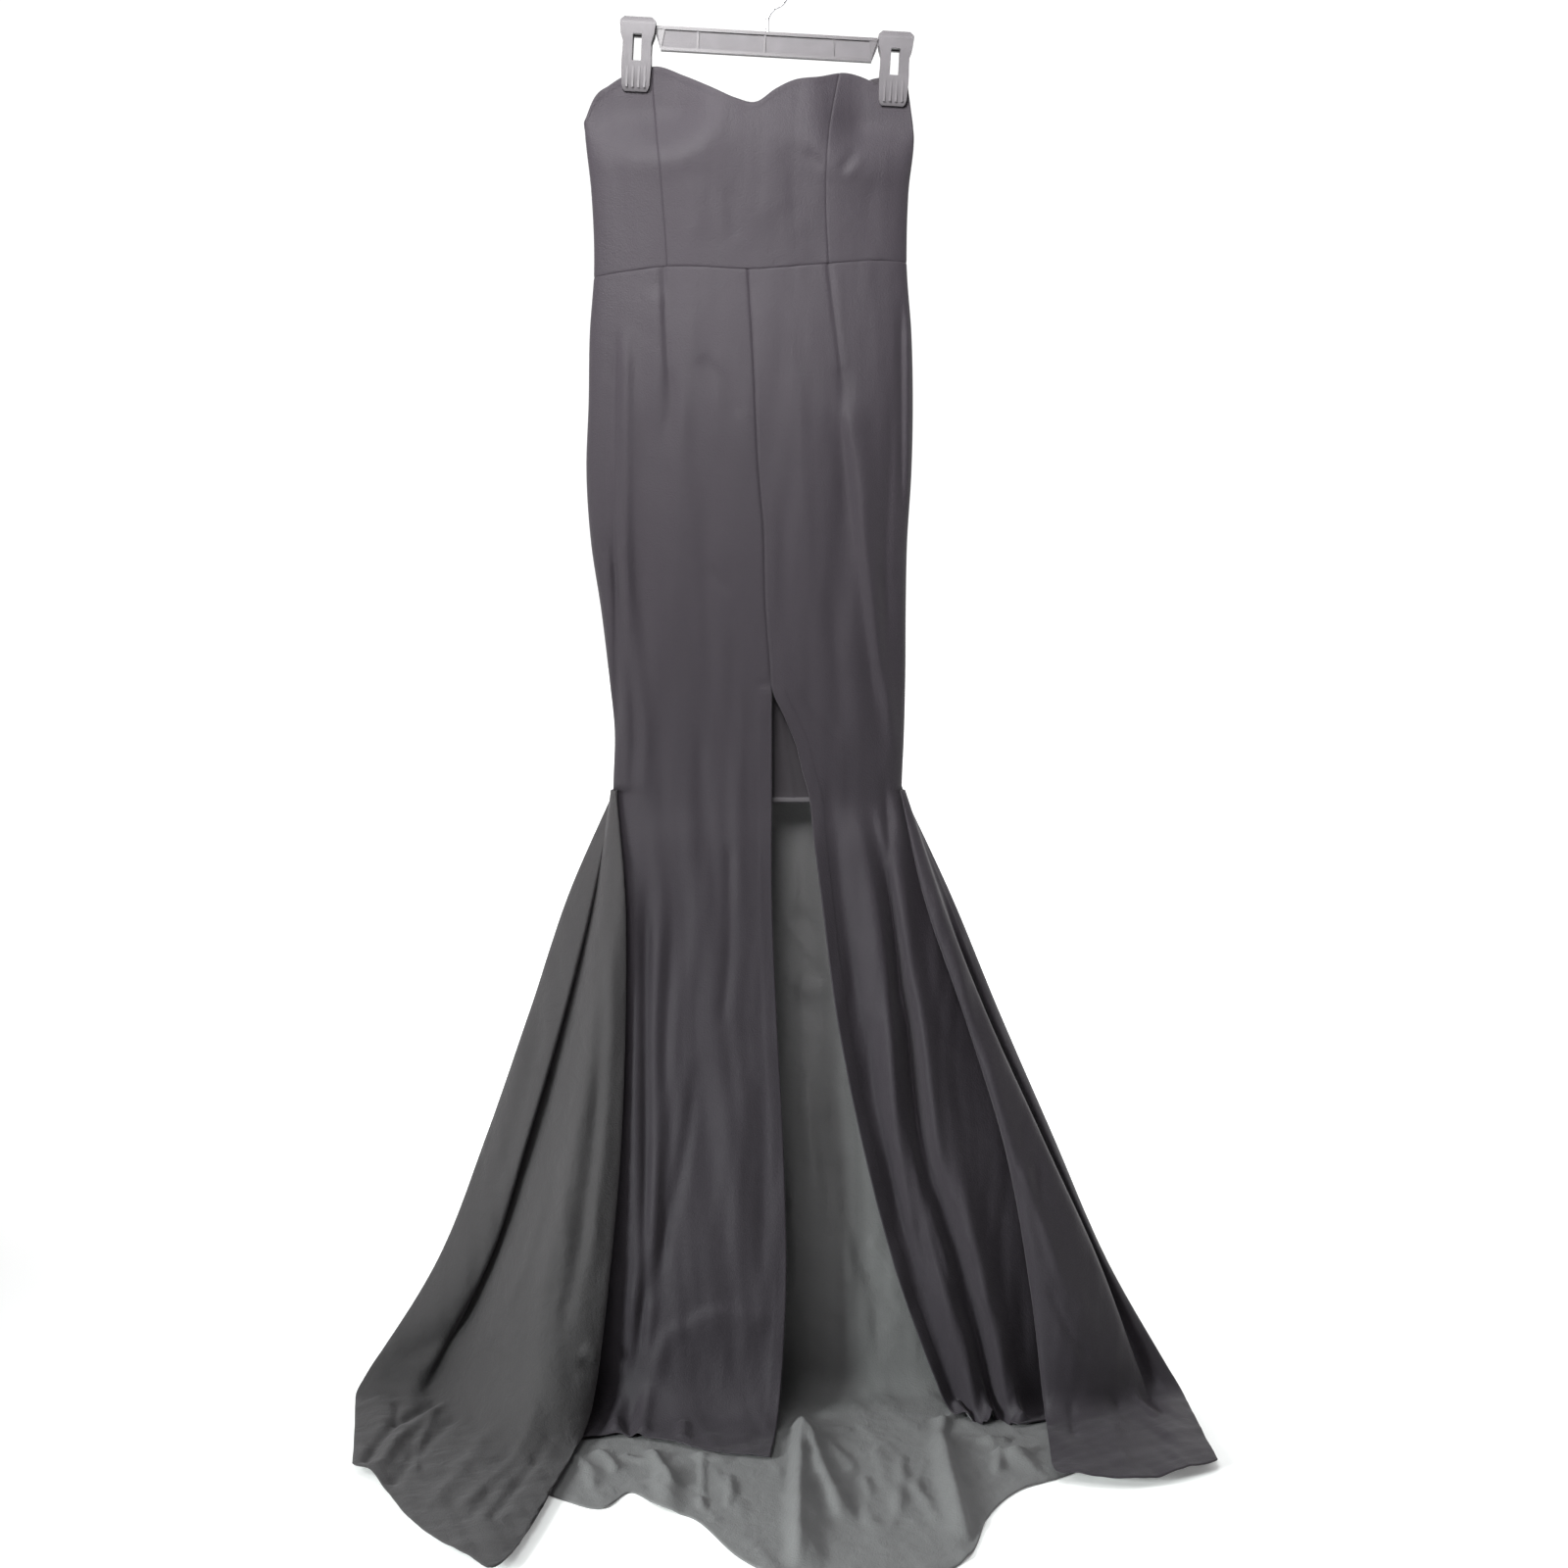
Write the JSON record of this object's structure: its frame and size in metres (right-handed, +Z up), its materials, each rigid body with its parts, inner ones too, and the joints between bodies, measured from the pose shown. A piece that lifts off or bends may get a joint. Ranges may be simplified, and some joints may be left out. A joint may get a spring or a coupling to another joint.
{
  "type": "strapless dress on a clip hanger",
  "caption": "Long strapless fishtail dress with a heart-shaped neckline, front slit and floor train, held by a clip hanger.",
  "frame": {"origin": "where the inside of the hanger's hook rests on its rail", "axes": "+X to the wearer's left (the viewer's right), the front of the dress faces -Y, +Z up"},
  "size_m": [0.8985, 0.4435, 1.5098],
  "materials": {
    "knit_face": "charcoal stretch knit, softly satin on its face and matt inside",
    "lining": "dark knit lining, matt",
    "hanger_plastic": "smoky grey moulded plastic, satin, darker at its edges",
    "hook_wire": "bright plated wire"
  },
  "bodies": {
    "root": {"bodice_front_centre": "knit_face", "bodice_front_left": "knit_face", "bodice_front_right": "knit_face", "bodice_back": "knit_face", "skirt_front_left": "knit_face", "skirt_front_right": "knit_face", "skirt_lining": "lining", "skirt_back": "knit_face", "flare_left": "knit_face", "flare_right": "knit_face", "hanger_bar": "hanger_plastic", "hanger_hook": "hook_wire", "clip_left_front": "hanger_plastic", "clip_left_back": "hanger_plastic", "clip_right_front": "hanger_plastic", "clip_right_back": "hanger_plastic"}
  },
  "joints": []
}
